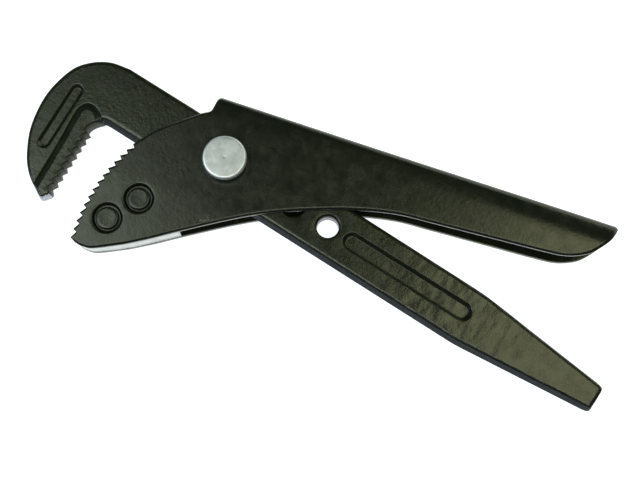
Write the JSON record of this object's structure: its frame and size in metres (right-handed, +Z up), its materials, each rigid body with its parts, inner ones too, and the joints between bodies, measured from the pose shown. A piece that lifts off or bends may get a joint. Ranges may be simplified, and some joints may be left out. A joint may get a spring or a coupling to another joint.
{
  "type": "pipe wrench",
  "caption": "Adjustable pipe wrench: forged hook jaw on a drilled tail bar, folded steel handle with a toothed jaw turning on a knurled pivot screw.",
  "frame": {"origin": "on the pivot screw's axis, on the screw's rear end, which is the lowest level when the wrench lies with the screw's head up", "axes": "+X along the bar from the hook to the tail, +Y to the side the handle leans to, +Z up through the screw's head"},
  "size_m": [0.2298, 0.1106, 0.0224],
  "materials": {
    "bar_paint": "black enamel over a forging, slightly orange-peeled",
    "handle_paint": "black enamel over folded sheet, slightly orange-peeled",
    "bright_steel": "zinc-plated and turned on the screw, washer and bush, ground bare on the jaw block"
  },
  "bodies": {
    "bar": {"hook_bar": "bar_paint"},
    "handle": {"handle_channel": "handle_paint", "jaw_block": "bright_steel", "jaw_rivet_rear": "handle_paint", "jaw_rivet_front": "handle_paint", "threaded_bush": "bright_steel"},
    "washer": {"spring_washer": "bright_steel"},
    "screw": {"pivot_screw": "bright_steel"}
  },
  "joints": [
    {"name": "handle_swing", "type": "hinge", "parent": "bar", "child": "handle", "pos_m": [0, 0, 0.0096], "axis": [0, 0, 1], "range_deg": [-18.2, 18.2]},
    {"name": "screw_travel", "type": "slide", "parent": "handle", "child": "washer", "axis": [0, 0, 1], "range_m": [0, 0.018]},
    {"name": "screw_turn", "type": "hinge", "parent": "washer", "child": "screw", "pos_m": [0, 0, 0.0096], "axis": [0, 0, 1], "range_deg": [0, 6480.2]}
  ],
  "couplings": [
    {"joint": "screw_turn", "follows": "screw_travel", "rad_per_m": 6283.2}
  ]
}
